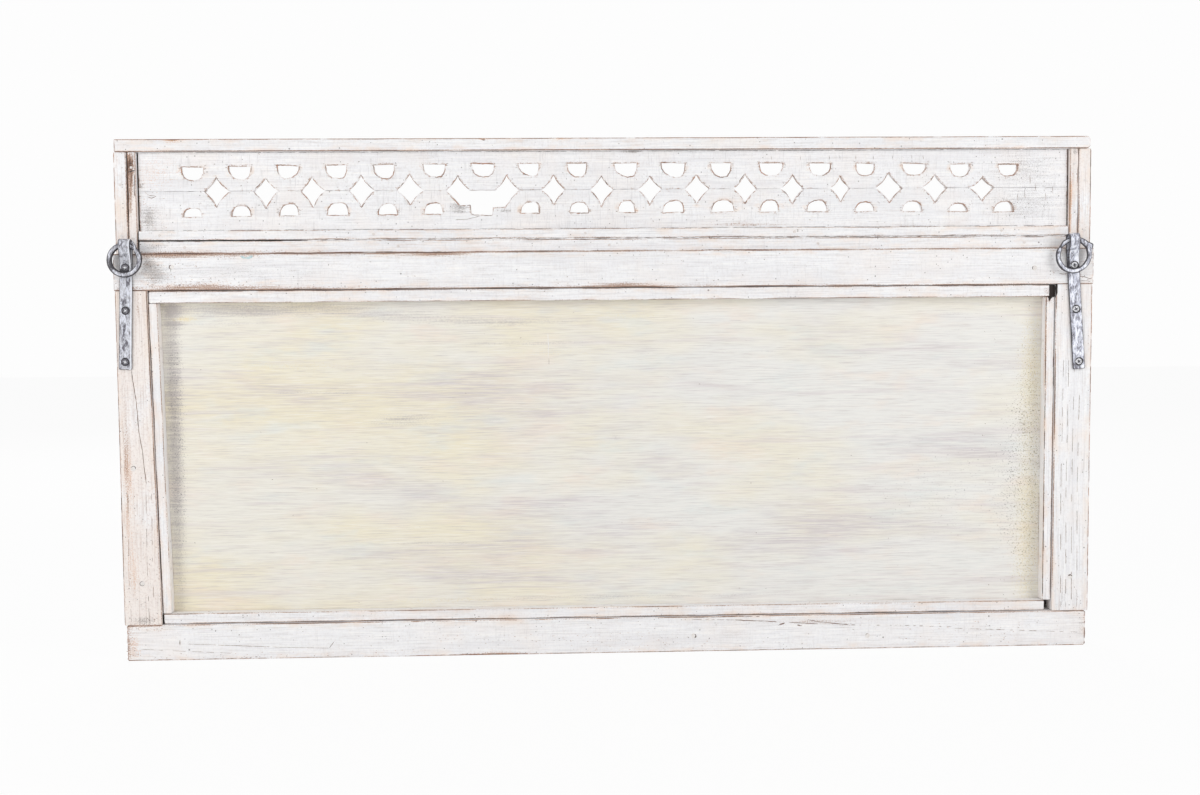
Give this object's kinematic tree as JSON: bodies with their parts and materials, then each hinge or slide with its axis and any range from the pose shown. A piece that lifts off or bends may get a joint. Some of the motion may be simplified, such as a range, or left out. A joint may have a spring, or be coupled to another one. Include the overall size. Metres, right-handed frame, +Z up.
{
  "type": "wall mirror",
  "caption": "Wide wall mirror in a distressed whitewashed timber frame with a pierced fretwork gallery above the glass and forged ring hangers on its back.",
  "frame": {"origin": "middle of the underside, halfway through the depth of the timber", "axes": "+X along the mirror to the right as seen from the glass side, +Y out of the back towards the wall, +Z up"},
  "size_m": [1.1044, 0.0618, 0.5834],
  "materials": {
    "whitewashed_wood": "distressed white paint over brown timber",
    "whitewashed_edge": "thin whitewash over end pieces, warmer where the wood shows",
    "plywood": "bare pale plywood with grey streaks",
    "mirror": "silvered glass",
    "forged_iron": "hand forged iron, mottled grey with worn paint",
    "screw_steel": "plain steel screws",
    "pin_steel": "dark steel pins and nails"
  },
  "bodies": {
    "frame": {"front_stile_left": "whitewashed_wood", "front_stile_right": "whitewashed_wood", "front_bottom_rail": "whitewashed_wood", "front_transom": "whitewashed_wood", "front_fret_sill": "whitewashed_wood", "cap_board": "whitewashed_wood", "back_stile_left": "whitewashed_wood", "back_stile_right": "whitewashed_wood", "back_bottom_rail": "whitewashed_wood", "back_middle_rail": "whitewashed_wood", "post_left": "whitewashed_edge", "post_right": "whitewashed_edge", "filler_left": "whitewashed_edge", "filler_right": "whitewashed_edge", "base_strip": "whitewashed_wood", "ledge_bead": "whitewashed_wood", "fret_board_upper": "whitewashed_wood", "fret_board_lower": "whitewashed_wood", "mirror_glass": "mirror", "backing_panel": "plywood", "bead_top": "whitewashed_wood", "bead_foot": "whitewashed_wood", "bead_left": "whitewashed_wood", "bead_right": "whitewashed_wood", "hanger_strap_left": "forged_iron", "hanger_strap_right": "forged_iron", "hanger_screws_left": "screw_steel", "hanger_screws_right": "screw_steel", "frame_pegs": "whitewashed_edge", "bead_pins": "pin_steel", "cap_nails": "pin_steel"},
    "ring_left": {"hanger_ring_left": "forged_iron"},
    "ring_right": {"hanger_ring_right": "forged_iron"}
  },
  "joints": [
    {"name": "ring_left_swing", "type": "hinge", "parent": "frame", "child": "ring_left", "pos_m": [-0.524, 0.0289, 0.4664], "axis": [0.9976, 0, -0.0698], "range_deg": [0, 195]},
    {"name": "ring_right_swing", "type": "hinge", "parent": "frame", "child": "ring_right", "pos_m": [0.5344, 0.0289, 0.4664], "axis": [0.9994, 0, 0.0349], "range_deg": [0, 195]}
  ]
}
